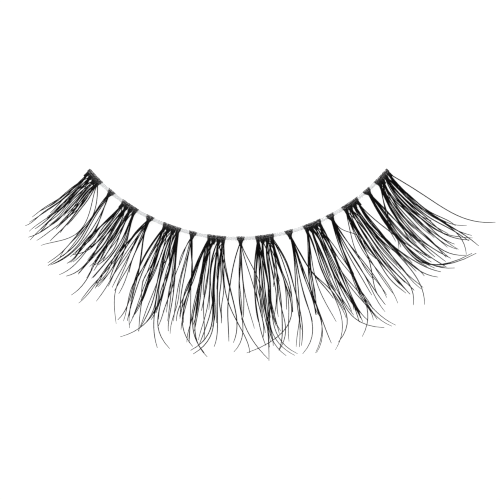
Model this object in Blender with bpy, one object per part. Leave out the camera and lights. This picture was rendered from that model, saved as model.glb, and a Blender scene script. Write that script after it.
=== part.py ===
"""False eyelash strip: a clear band that carries fifteen knotted clusters of lashes.

The strip lies on its flat underside with the lashes curling up. Metres, +Z up.
Everything is first modelled with the band laid straight along X and the lashes
pointing to -Y, and then bent round onto the curve of the lid. The origin is on
the underside, below the middle of the band.
"""

import math

import bmesh
import bpy

MM = 0.001

# The clear band: a round filament, bent to the curve of an upper lid.
BAND_LENGTH = 32.8 * MM
BAND_RADIUS = 19.1 * MM
BAND_DIAMETER = 0.34 * MM
BAND_STEP = 0.9 * MM
BAND_BEVEL_STEPS = 2

# A knot: hair looped round the band, which runs through its bore, and drawn together into a root.
BORE_CLEARANCE = 0.02 * MM
BORE_OVERRUN = 0.2 * MM
KNOT_WALL = 0.04 * MM
KNOT_TAPER = 0.39 * MM
KNOT_PITCH = 0.455 * MM
KNOT_OVERLAP = 0.05 * MM
SINGLE_KNOT_WIDTH = 0.80 * MM
ROOT_WIDTH = 0.27 * MM
BORE_RADIUS = BAND_DIAMETER / 2 + BORE_CLEARANCE
KNOT_HEIGHT = 2 * (BORE_RADIUS + KNOT_WALL)
KNOT_BACK = BORE_RADIUS + KNOT_WALL
KNOT_FRONT = KNOT_BACK + KNOT_TAPER
KNOT_FLAT = 0.72
KNOT_SHOULDER = 0.28

# A lock: the lashes of a knot that cling together, round in section.
LASH_LENGTH = 12.0 * MM
LOCK_THICKNESS = 0.27 * MM
LOCK_TIP_THICKNESS = 0.07 * MM
CURL_STEPS = 3
LOCK_BEVEL_STEPS = 1
LOCKS_PER_WIDE_KNOT = 2
LOCKS_PER_SINGLE_KNOT = 3
FAN_EASE = 1.7
FLAT_SHARE = 0.26
CURL_DEGREES = 44.0
CURL_SPREAD_DEGREES = 9.0

# Faces that meet at less than this are one flat face, and edges that meet at more are sharp.
FLAT_DEGREES = 1.0
SHARP_DEGREES = 40.0

LASH_BLACK = (0.012, 0.011, 0.012, 1.0)
BAND_CLEAR = (0.86, 0.87, 0.88, 0.45)

# One row for each cluster, from the left end of the band to the right end.
#   knots  hair knots side by side; a wide cluster has four and a narrow one has one
#   shift  how far it sits to the right of its even place, as a share of the gap
#   reach  its longest lock, as a share of LASH_LENGTH
#   ragged how much shorter its shortest lock is, as a share of the longest
#   fan    how far its tips spread to each side, as a share of half the room it has
#   lean   how far its tips lie to the right of its roots, as a share of that room
CLUSTERS = (
    dict(knots=4, shift=0.00, reach=0.73, ragged=0.26, fan=0.69, lean=0.02),
    dict(knots=1, shift=-0.05, reach=0.77, ragged=0.22, fan=0.53, lean=0.06),
    dict(knots=4, shift=0.00, reach=0.85, ragged=0.24, fan=0.78, lean=-0.04),
    dict(knots=1, shift=0.02, reach=0.90, ragged=0.20, fan=0.68, lean=-0.02),
    dict(knots=4, shift=0.12, reach=0.92, ragged=0.20, fan=0.78, lean=0.02),
    dict(knots=1, shift=0.00, reach=0.90, ragged=0.18, fan=0.68, lean=0.04),
    dict(knots=4, shift=0.12, reach=0.97, ragged=0.16, fan=0.81, lean=-0.03),
    dict(knots=1, shift=0.24, reach=0.98, ragged=0.18, fan=0.72, lean=0.02),
    dict(knots=4, shift=0.36, reach=1.00, ragged=0.20, fan=0.81, lean=0.02),
    dict(knots=1, shift=0.56, reach=0.97, ragged=0.18, fan=0.68, lean=-0.02),
    dict(knots=4, shift=0.72, reach=1.00, ragged=0.18, fan=0.78, lean=-0.04),
    dict(knots=1, shift=0.44, reach=1.00, ragged=0.16, fan=0.65, lean=-0.02),
    dict(knots=4, shift=0.44, reach=1.00, ragged=0.16, fan=0.81, lean=0.08),
    dict(knots=1, shift=0.26, reach=0.96, ragged=0.16, fan=0.57, lean=0.06),
    dict(knots=4, shift=0.00, reach=0.98, ragged=0.20, fan=1.00, lean=0.24),
)

# The outline of a knot seen from above and from the side, from back to front.
#   along  how far from the band's middle: -1 is the back edge and 1 the front end
#   alone  how wide a single knot is, from 0 at the root's width to 1 at the knot's own
#   in_row how wide a knot is that stands in a row of others, in the same measure
#   tall   how tall it is, from 0 at the root's thickness to 1 at the knot's own
KNOT_PROFILE = (
    dict(along=-1.00, alone=1.00, in_row=1.00, tall=1.00),
    dict(along=0.22, alone=0.88, in_row=0.96, tall=1.00),
    dict(along=0.56, alone=0.38, in_row=0.84, tall=0.60),
    dict(along=1.00, alone=0.00, in_row=0.00, tall=0.00),
)

# How the thickness of a lock runs from its root to its tip.
#   at     share of the length
#   thick  0 is the tip's thickness and 1 the thickest
LOCK_PROFILE = (
    dict(at=0.00, thick=0.70),
    dict(at=0.12, thick=0.80),
    dict(at=0.38, thick=1.00),
    dict(at=0.70, thick=0.62),
    dict(at=1.00, thick=0.00),
)


def clear_scene():
    """Removes every object and collection that the file starts with."""
    for obj in list(bpy.data.objects):
        bpy.data.objects.remove(obj)
    for collection in list(bpy.data.collections):
        bpy.data.collections.remove(collection)


def new_collection(name):
    collection = bpy.data.collections.new(name)
    bpy.context.scene.collection.children.link(collection)
    return collection


def material(name, colour, roughness):
    """A Principled material with one colour, see-through where its alpha is below 1."""
    made = bpy.data.materials.new(name)
    made.use_nodes = True
    shader = made.node_tree.nodes["Principled BSDF"]
    shader.inputs["Base Color"].default_value = colour
    shader.inputs["Alpha"].default_value = colour[3]
    shader.inputs["Roughness"].default_value = roughness
    shader.inputs["Metallic"].default_value = 0.0
    return made


def profile_value(profile, key, at, column):
    """Reads a column of a profile table at a place between its rows."""
    for low, high in zip(profile, profile[1:]):
        if at <= high[key]:
            share = (at - low[key]) / (high[key] - low[key])
            return low[column] + share * (high[column] - low[column])
    return profile[-1][column]


def bend_to_lid(x, y):
    """Where a point of the straight strip lies once the band is bent to its curve."""
    angle = x / BAND_RADIUS
    reach = BAND_RADIUS - y
    return reach * math.sin(angle), BAND_RADIUS - reach * math.cos(angle)


def cluster_width(row):
    if row["knots"] == 1:
        return SINGLE_KNOT_WIDTH
    return row["knots"] * KNOT_PITCH


def cluster_gap():
    """The bare band between two clusters, if they were spaced evenly."""
    covered = sum(cluster_width(row) for row in CLUSTERS)
    return (BAND_LENGTH - covered) / (len(CLUSTERS) - 1)


def cluster_places():
    """The middle of each cluster along the straight band."""
    gap = cluster_gap()
    places = []
    start = -BAND_LENGTH / 2
    for row in CLUSTERS:
        width = cluster_width(row)
        places.append(start + width / 2 + row["shift"] * gap)
        start += width + gap
    return places


def room_beside(row):
    """Half the length of band that a cluster has to itself, with its share of the gaps."""
    return cluster_width(row) / 2 + cluster_gap() / 2


def knot_places(row, centre):
    """The middle of each knot of a cluster, the width that one has and its column of the profile."""
    if row["knots"] == 1:
        return [centre], SINGLE_KNOT_WIDTH, "alone"
    first = centre - KNOT_PITCH * (row["knots"] - 1) / 2
    places = [first + KNOT_PITCH * k for k in range(row["knots"])]
    return places, KNOT_PITCH + KNOT_OVERLAP, "in_row"


def add_mesh(name, bm, collection):
    mesh = bpy.data.meshes.new(name)
    bm.to_mesh(mesh)
    bm.free()
    obj = bpy.data.objects.new(name, mesh)
    collection.objects.link(obj)
    return obj


def knot_section(middle, y, width, height, bottom):
    """Eight corners of a section across the lashes: flat below and on top, with sloping shoulders."""
    half = width / 2
    outline = (
        (-1.0, KNOT_SHOULDER),
        (-KNOT_FLAT, 0.0),
        (KNOT_FLAT, 0.0),
        (1.0, KNOT_SHOULDER),
        (1.0, 1.0 - KNOT_SHOULDER),
        (KNOT_FLAT, 1.0),
        (-KNOT_FLAT, 1.0),
        (-1.0, 1.0 - KNOT_SHOULDER),
    )
    return [(middle + half * across, y, bottom + height * up) for across, up in outline]


def add_knot(name, middle, width, shape, collection):
    """A knot lofted from its back edge to the root that its lashes leave from."""
    bm = bmesh.new()
    rings = []
    for row in KNOT_PROFILE:
        length = KNOT_BACK if row["along"] < 0 else KNOT_FRONT
        wide = ROOT_WIDTH + (width - ROOT_WIDTH) * row[shape]
        tall = ROOT_WIDTH + (KNOT_HEIGHT - ROOT_WIDTH) * row["tall"]
        lowest = (KNOT_HEIGHT - tall) / 2
        corners = knot_section(middle, -length * row["along"], wide, tall, lowest)
        rings.append([bm.verts.new(corner) for corner in corners])
    for back, front in zip(rings, rings[1:]):
        for k in range(len(back)):
            following = (k + 1) % len(back)
            bm.faces.new((back[k], back[following], front[following], front[k]))
    bm.faces.new(reversed(rings[0]))
    bm.faces.new(rings[-1])
    bmesh.ops.recalc_face_normals(bm, faces=bm.faces)
    return add_mesh(name, bm, collection)


def curl_path(length, curl_degrees):
    """How far out and how high each point of a lock lies: down to the floor, then curling up."""
    out, up = length * FLAT_SHARE, LOCK_THICKNESS / 2
    points = [(0.0, KNOT_HEIGHT / 2), (out, up)]
    step = length * (1.0 - FLAT_SHARE) / CURL_STEPS
    for k in range(CURL_STEPS):
        angle = math.radians(curl_degrees) * (k + 0.5) / CURL_STEPS
        out += step * math.cos(angle)
        up += step * math.sin(angle)
        points.append((out, up))
    return points


def tube(name, points, radii, collection, bevel_steps):
    """A closed round tube through points, made with a curve's bevel and its caps welded on."""
    curve = bpy.data.curves.new(name, "CURVE")
    curve.dimensions = "3D"
    curve.bevel_depth = 1.0
    curve.bevel_resolution = bevel_steps
    curve.use_fill_caps = True
    spline = curve.splines.new("POLY")
    spline.points.add(len(points) - 1)
    for point, place, radius in zip(spline.points, points, radii):
        point.co = (*place, 1.0)
        point.radius = radius
    guide = bpy.data.objects.new(name, curve)
    collection.objects.link(guide)
    graph = bpy.context.evaluated_depsgraph_get()
    mesh = bpy.data.meshes.new_from_object(guide.evaluated_get(graph))
    bm = bmesh.new()
    bm.from_mesh(mesh)
    bmesh.ops.remove_doubles(bm, verts=bm.verts, dist=0.001 * MM)
    bmesh.ops.recalc_face_normals(bm, faces=bm.faces)
    bpy.data.objects.remove(guide)
    bpy.data.meshes.remove(mesh)
    return add_mesh(name, bm, collection)


def add_lock(name, root, tip_shift, length, curl_degrees, collection):
    """A tapering lock that starts inside its knot's root and curls up to its tip."""
    points, radii = [], []
    for out, up in curl_path(length, curl_degrees):
        at = out / length
        thick = profile_value(LOCK_PROFILE, "at", at, "thick")
        thickness = LOCK_TIP_THICKNESS + (LOCK_THICKNESS - LOCK_TIP_THICKNESS) * thick
        start = KNOT_FRONT - ROOT_WIDTH / 2
        spread = 1.0 - (1.0 - at) ** FAN_EASE
        points.append((root + tip_shift * spread, -(start + out), up))
        radii.append(thickness / 2)
    return tube(name, points, radii, collection, LOCK_BEVEL_STEPS)


def lock_tips(row, places):
    """The root, tip shift and length of each lock of a cluster, from left to right."""
    each = LOCKS_PER_SINGLE_KNOT if row["knots"] == 1 else LOCKS_PER_WIDE_KNOT
    count = each * row["knots"]
    centre = (places[0] + places[-1]) / 2
    room = room_beside(row)
    found = []
    for k in range(count):
        across = -1.0 + 2.0 * k / (count - 1)
        tip = centre + room * (row["fan"] * across + row["lean"])
        split = (k % each) / max(1, each - 1) - 0.5
        root = places[k // each] + split * ROOT_WIDTH * 0.35
        shorter = row["ragged"] * ((k * 5) % 8) / 7.0
        length = LASH_LENGTH * row["reach"] * (1.0 - shorter)
        curl = CURL_DEGREES + CURL_SPREAD_DEGREES * (1.0 if k % 2 else -1.0)
        found.append(dict(root=root, tip_shift=tip - root, length=length, curl=curl))
    return found


def apply_boolean(obj, operation, others):
    """Joins a collection to an object or cuts it away, and removes that collection."""
    modifier = obj.modifiers.new(operation.lower(), "BOOLEAN")
    modifier.solver = "EXACT"
    modifier.operation = operation
    modifier.operand_type = "COLLECTION"
    modifier.collection = others
    bpy.context.view_layer.update()
    graph = bpy.context.evaluated_depsgraph_get()
    mesh = bpy.data.meshes.new_from_object(obj.evaluated_get(graph))
    obj.modifiers.clear()
    obj.data = mesh
    for other in list(others.objects):
        bpy.data.objects.remove(other)
    bpy.data.collections.remove(others)


def merge_flats(mesh):
    """Makes one face of the flat faces that lie side by side, such as the knots' undersides."""
    bm = bmesh.new()
    bm.from_mesh(mesh)
    bmesh.ops.dissolve_limit(
        bm, angle_limit=math.radians(FLAT_DEGREES), verts=bm.verts, edges=bm.edges
    )
    bm.to_mesh(mesh)
    bm.free()


def add_cluster(name, row, centre, parts, dark):
    """One cluster: its knots, drilled for the band, and its locks, fused into one body."""
    fused = new_collection(name + "_fused")
    cut = new_collection(name + "_cut")
    places, width, shape = knot_places(row, centre)
    first = add_knot(name, places[0], width, shape, parts)
    for k, place in enumerate(places[1:]):
        add_knot(f"{name}_knot_{k}", place, width, shape, fused)
    for k, lock in enumerate(lock_tips(row, places)):
        add_lock(
            f"{name}_lock_{k}", lock["root"], lock["tip_shift"], lock["length"], lock["curl"], fused
        )
    half = cluster_width(row) / 2 + KNOT_OVERLAP + BORE_OVERRUN
    stations = math.ceil(2 * half / BAND_STEP)
    bore_points = [
        (centre - half + 2 * half * k / stations, 0.0, KNOT_HEIGHT / 2) for k in range(stations + 1)
    ]
    tube(name + "_bore", bore_points, [BORE_RADIUS] * len(bore_points), cut, BAND_BEVEL_STEPS)
    apply_boolean(first, "UNION", fused)
    merge_flats(first.data)
    apply_boolean(first, "DIFFERENCE", cut)
    finish_mesh(first.data)
    first.data.materials.clear()
    first.data.materials.append(dark)
    return first


def finish_mesh(mesh):
    """Triangles, bent onto the lid's curve and shaded smooth."""
    bm = bmesh.new()
    bm.from_mesh(mesh)
    bmesh.ops.triangulate(bm, faces=bm.faces)
    for vert in bm.verts:
        vert.co.x, vert.co.y = bend_to_lid(vert.co.x, vert.co.y)
    bm.to_mesh(mesh)
    bm.free()
    mesh.shade_smooth()
    mesh.set_sharp_from_angle(angle=math.radians(SHARP_DEGREES))


def add_band(parts, clear):
    """The filament, from the outer side of the first knot to that of the last."""
    steps = math.ceil(BAND_LENGTH / BAND_STEP)
    points = [
        (-BAND_LENGTH / 2 + BAND_LENGTH * k / steps, 0.0, KNOT_HEIGHT / 2) for k in range(steps + 1)
    ]
    band = tube("clear_band", points, [BAND_DIAMETER / 2] * len(points), parts, BAND_BEVEL_STEPS)
    finish_mesh(band.data)
    band.data.materials.append(clear)
    return band


def build():
    clear_scene()
    parts = new_collection("false_eyelash_strip")
    strip = bpy.data.objects.new("false_eyelash_strip", None)
    parts.objects.link(strip)
    dark = material("lash_black", LASH_BLACK, 0.42)
    clear = material("band_clear", BAND_CLEAR, 0.18)
    pieces = [add_band(parts, clear)]
    seen = dict(wide=0, narrow=0)
    for row, centre in zip(CLUSTERS, cluster_places()):
        kind = "narrow" if row["knots"] == 1 else "wide"
        seen[kind] += 1
        pieces.append(add_cluster(f"{kind}_cluster_{seen[kind]}", row, centre, parts, dark))
    for piece in pieces:
        piece.parent = strip


build()
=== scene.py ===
"""A false eyelash strip that lies on white, seen from straight above.

Tufts of tapered black fibre are knotted round a clear filament, which is bent to the curve
of an upper lid. All lengths are metres, and lengths written in a chart are millimetres.

A place on the strip is given by three numbers. The first is its angle round the lid's
circle, from the middle of the band, with the outer corner of the eye to the right. The
second is how far out it lies, from the middle of the band towards the tips. The third is
its height above the surface that the strip lies on.
"""

import logging
import math
from dataclasses import dataclass
from enum import Enum
from typing import Any, Sequence

import bpy
import numpy as np
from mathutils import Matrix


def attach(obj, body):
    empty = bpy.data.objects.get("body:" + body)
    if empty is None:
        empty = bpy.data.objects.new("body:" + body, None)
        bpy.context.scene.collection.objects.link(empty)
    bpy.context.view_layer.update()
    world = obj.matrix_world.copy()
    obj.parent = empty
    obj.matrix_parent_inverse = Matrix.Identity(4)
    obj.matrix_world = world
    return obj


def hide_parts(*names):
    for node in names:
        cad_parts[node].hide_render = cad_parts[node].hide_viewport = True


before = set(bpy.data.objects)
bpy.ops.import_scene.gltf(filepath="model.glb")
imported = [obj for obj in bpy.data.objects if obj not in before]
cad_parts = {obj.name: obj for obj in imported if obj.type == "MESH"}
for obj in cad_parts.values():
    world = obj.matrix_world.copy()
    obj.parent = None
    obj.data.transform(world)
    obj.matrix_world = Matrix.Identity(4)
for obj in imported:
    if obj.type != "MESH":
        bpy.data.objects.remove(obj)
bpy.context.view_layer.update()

MM = 0.001
BODY = "root"
UP = np.array((0.0, 0.0, 1.0))
WHITE = (1.0, 1.0, 1.0, 1.0)
Array = np.ndarray
Colour = tuple[float, float, float, float]
log = logging.getLogger("false_eyelash_strip")


class Slot(Enum):
    """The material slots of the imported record."""

    LASH = "black_lash"
    BAND = "clear_band"


def eased(share: Array) -> Array:
    """Clips a share to 0..1 and eases it in and out, as 3 s² - 2 s³."""
    held = np.clip(share, 0.0, 1.0)
    return held * held * (3.0 - 2.0 * held)


def unit(vectors: Array) -> Array:
    """Vectors of any array shape, scaled to length 1 along their last axis."""
    return vectors / np.linalg.norm(vectors, axis=-1, keepdims=True)


# The lid's circle


@dataclass(frozen=True)
class Lid:
    """The circle that the band is bent to, with the band's own size.

    Attributes:
        centre: The circle's centre, as x and y.
        radius: From the centre to the middle of the band.
        half_angle: From the middle of the band to its end, in radians.
        height: How high the middle of the band lies.
        filament: The radius of the band's round section.
    """

    centre: tuple[float, float]
    radius: float
    half_angle: float
    height: float
    filament: float

    @classmethod
    def of_band(cls, node: bpy.types.Object) -> "Lid":
        """Reads the circle off the band's own solid.

        The points of a round filament lie evenly about its middle line, so the circle
        that fits them best, x² + y² = 2 a x + 2 b y + c, is the circle of that line.

        Args:
            node: The band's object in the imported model.

        Returns:
            The fitted circle and the size of the band.
        """
        points = node_points(node)
        x, y, z = points.T
        design = np.stack((2.0 * x, 2.0 * y, np.ones_like(x)), axis=1)
        across, along, rest = np.linalg.lstsq(design, x * x + y * y, rcond=None)[0]
        angles = np.arctan2(x - across, along - y)
        return cls(
            centre=(float(across), float(along)),
            radius=math.sqrt(rest + across * across + along * along),
            half_angle=float(np.ptp(angles)) / 2.0,
            height=float(z.min() + z.max()) / 2.0,
            filament=float(np.ptp(z)) / 2.0,
        )

    def place(self, angle: Array, out: Array, height: Array) -> Array:
        """Turns angle, reach and height into x, y and z.

        x = a + (R + out) sin(angle) and y = b - (R + out) cos(angle).

        Args:
            angle: Round the circle from the middle of the band, in radians.
            out: How far outside the middle line of the band.
            height: Above the surface.

        Returns:
            The points, one along the last axis for each place.
        """
        reach = self.radius + out
        x = self.centre[0] + reach * np.sin(angle)
        y = self.centre[1] - reach * np.cos(angle)
        return np.stack(np.broadcast_arrays(x, y, height), axis=-1)

    def span(self, node: bpy.types.Object) -> tuple[float, float]:
        """The angles between which a cluster's knots lie, from the back half of its solid."""
        x, y, _ = node_points(node).T
        side = x - self.centre[0]
        down = self.centre[1] - y
        behind = np.hypot(side, down) < self.radius
        angles = np.arctan2(side, down)[behind]
        return float(angles.min()), float(angles.max())


def node_points(node: bpy.types.Object) -> Array:
    """The corners of an object's mesh, as rows of x, y and z."""
    points = np.empty(len(node.data.vertices) * 3, np.float32)
    node.data.vertices.foreach_get("co", points)
    return points.reshape(-1, 3).astype(float)


# Surfaces


class Skin:
    """Collects closed surfaces as whole arrays and makes one mesh of them."""

    def __init__(self) -> None:
        """Starts with no surface."""
        self.points: list[Array] = []
        self.quads: list[Array] = []
        self.triangles: list[Array] = []
        self.marks: dict[str, list[Array]] = {"along": [], "shade": []}
        self.count = 0

    def add(self, grid: Array, along: Array, shade: Array, looped: bool = False) -> None:
        """Adds closed surfaces, each a grid of rings with its sides joined round.

        A grid that isn't looped is closed at both ends by a pole in the middle of its last
        ring. Rings that would make the surface inside out are taken the other way round.

        Args:
            grid: Points, shaped (surfaces, rings, sides, 3).
            along: How far along its surface each ring lies, shaped (surfaces, rings).
            shade: A random number for each surface, shaped (surfaces,).
            looped: Whether the last ring joins the first one.
        """
        if self._volume(grid, looped) < 0.0:
            grid = grid[:, :, ::-1]
        surfaces, rings, sides, _ = grid.shape
        corners = np.arange(surfaces * rings * sides).reshape(surfaces, rings, sides) + self.count
        near = corners if looped else corners[:, :-1]
        far = np.roll(corners, -1, axis=1) if looped else corners[:, 1:]
        ring_quads = (near, np.roll(near, -1, axis=2), np.roll(far, -1, axis=2), far)
        self.quads.append(np.stack(ring_quads, axis=-1).reshape(-1, 4))
        points = [grid.reshape(-1, 3)]
        alongs = [np.repeat(along, sides, axis=1).reshape(-1)]
        shades = [np.repeat(shade, rings * sides)]
        used = corners.size
        if not looped:
            for ring, turn in ((0, 1), (rings - 1, -1)):
                poles = (np.arange(surfaces) + self.count + used)[:, None]
                edge = corners[:, ring]
                around = np.roll(edge, -turn, axis=1)
                caps = (np.broadcast_to(poles, edge.shape), around, edge)
                self.triangles.append(np.stack(caps, axis=-1).reshape(-1, 3))
                points.append(grid[:, ring].mean(axis=1))
                alongs.append(along[:, ring])
                shades.append(shade)
                used += surfaces
        self.points.append(np.concatenate(points))
        self.marks["along"].append(np.concatenate(alongs))
        self.marks["shade"].append(np.concatenate(shades))
        self.count += used

    @staticmethod
    def _volume(grid: Array, looped: bool) -> float:
        """Six times the volume that the rings hold, negative where they are inside out."""
        near = grid if looped else grid[:, :-1]
        far = np.roll(grid, -1, axis=1) if looped else grid[:, 1:]
        a, b = near, np.roll(near, -1, axis=2)
        c, d = np.roll(far, -1, axis=2), far
        middle = grid.mean(axis=(1, 2), keepdims=True)
        crossed = np.cross(c - a, d - b)
        return float(np.sum((a - middle) * crossed))

    def mesh(self, name: str) -> bpy.types.Object:
        """Makes the object, smooth shaded, with its marks as attributes.

        Args:
            name: The name of the object and its mesh.

        Returns:
            The object, at the origin.
        """
        quads = np.concatenate(self.quads)
        triangles = np.concatenate(self.triangles) if self.triangles else np.empty((0, 3), int)
        corners = np.concatenate((quads.reshape(-1), triangles.reshape(-1)))
        starts = np.concatenate(
            (np.arange(len(quads)) * 4, quads.size + np.arange(len(triangles)) * 3)
        )
        made = bpy.data.meshes.new(name)
        made.vertices.add(self.count)
        made.vertices.foreach_set("co", np.concatenate(self.points).astype(np.float32).reshape(-1))
        made.loops.add(len(corners))
        made.loops.foreach_set("vertex_index", corners.astype(np.int32))
        made.polygons.add(len(starts))
        made.polygons.foreach_set("loop_start", starts.astype(np.int32))
        made.update(calc_edges=True)
        made.validate()
        made.shade_smooth()
        for title, parts in self.marks.items():
            layer = made.attributes.new(title, "FLOAT", "POINT")
            layer.data.foreach_set("value", np.concatenate(parts).astype(np.float32))
        piece = bpy.data.objects.new(name, made)
        bpy.context.scene.collection.objects.link(piece)
        return piece


def tubes(paths: Array, radii: Array, sides: int, across: Array, looped: bool = False) -> Array:
    """Round tubes carried along paths.

    A point is path + r (cos(a) s + sin(a) n). Here s is square to the path and to the
    direction given as across, n is square to both the path and s, and a goes round.

    Args:
        paths: Middle lines, shaped (tubes, rings, 3).
        radii: Radius at each ring, shaped (tubes, rings).
        sides: How many sides a tube has.
        across: A direction that no path runs along, shaped to fit the paths.
        looped: Whether each path comes back to its start.

    Returns:
        A grid of rings, shaped (tubes, rings, sides, 3).
    """
    if looped:
        steps = np.roll(paths, -1, axis=1) - np.roll(paths, 1, axis=1)
    else:
        steps = np.gradient(paths, axis=1)
    forward = unit(steps)
    side = unit(np.cross(forward, across))
    normal = np.cross(side, forward)
    turn = np.arange(sides) * 2.0 * math.pi / sides
    ring = np.cos(turn)[:, None] * side[:, :, None] + np.sin(turn)[:, None] * normal[:, :, None]
    return paths[:, :, None] + radii[:, :, None, None] * ring


# The lashes


# A lock's root, and the four places that its course gives
STATIONS = 5


@dataclass(frozen=True)
class Lock:
    """Lashes that leave one knot and cling together.

    Attributes:
        knot: The knot they leave, counted from the left.
        course: Angles round the lid, in degrees, that the lock passes at a quarter, at
            half, at three quarters and at the end of its reach.
        reach: How far out its longest lash ends, from the band's edge, in millimetres.
        lashes: How many lashes it has.
    """

    knot: int
    course: tuple[float, float, float, float]
    reach: float
    lashes: int


@dataclass(frozen=True)
class LashShape:
    """How a single lash is made, and how lashes cling to and leave each other.

    Attributes:
        thickness: Of a lash at its root.
        thinning: How much thinner it is just short of its tip, as a share.
        thickness_spread: How unlike the thicknesses of two lashes are, as a share.
        tip_share: How thick its tip is, as a share of that.
        taper_power: How late along the lash its taper sets in.
        sides: Sides of its section.
        rings: Rings along it.
        start: How far out it starts, inside its knot.
        root: Half the width that the lashes of a knot leave it with.
        cling: Half the width of a lock of one lash where it is narrowest.
        cling_each: What each further lash adds to that.
        tuft: Half the width of a lock of one lash at its tips.
        tuft_each: What each further lash adds to that.
        closed_by: The share of its reach at which a lock has closed beyond its knot.
        open_from: The share of its reach from which it opens to its tips.
        depth: How deep a lock is, as a share of its width.
        deep_by: The share of its reach at which it has that depth.
        jostle: How far a lash strays from its place beside the others, as a share.
        bow: How much its place half way along counts, where 2 is a plain curve.
        cross: How many lashes leave the knot beside their lock's own, as a share.
        keep: How far two neighbours draw together half way along, as a share.
        meet: How far their tips draw together, as a share.
        ragged: How much shorter the shortest lash of a lock is, as a share.
        ragged_power: How rare such short lashes are.
        waver: How far a lash wavers to its side.
        waves: The fewest waves along a lash.
        more_waves: How many more the waviest lash has.
        hook: How far a tip bends to its side.
        lone: How much of that waver and hook a lash that strays alone has, as a share.
        flat: The share of its reach for which a lock lies flat.
        rest: How high its middle lies there.
        settled_by: The share of its reach at which it has come down to that.
        rise: How high its tip lies, as a share of its reach.
        rise_power: How late along the lock the curl sets in.
        rise_spread: How unlike the curls of two lashes are, as a share.
    """

    thickness: float = 0.087 * MM
    thinning: float = 0.18
    thickness_spread: float = 0.16
    tip_share: float = 0.6
    taper_power: float = 16.0
    sides: int = 6
    rings: int = 26
    start: float = 0.30 * MM
    root: float = 0.11 * MM
    cling: float = 0.07 * MM
    cling_each: float = 0.020 * MM
    tuft: float = 0.10 * MM
    tuft_each: float = 0.075 * MM
    closed_by: float = 0.20
    open_from: float = 0.15
    depth: float = 0.9
    deep_by: float = 0.10
    jostle: float = 0.8
    bow: float = 2.6
    cross: float = 0.28
    keep: float = 0.75
    meet: float = 0.92
    ragged: float = 0.46
    ragged_power: float = 1.6
    waver: float = 0.15 * MM
    waves: float = 0.8
    more_waves: float = 1.2
    hook: float = 0.30 * MM
    lone: float = 0.3
    flat: float = 0.26
    rest: float = 0.13 * MM
    settled_by: float = 0.24
    rise: float = 0.30
    rise_power: float = 1.9
    rise_spread: float = 0.13


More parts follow.
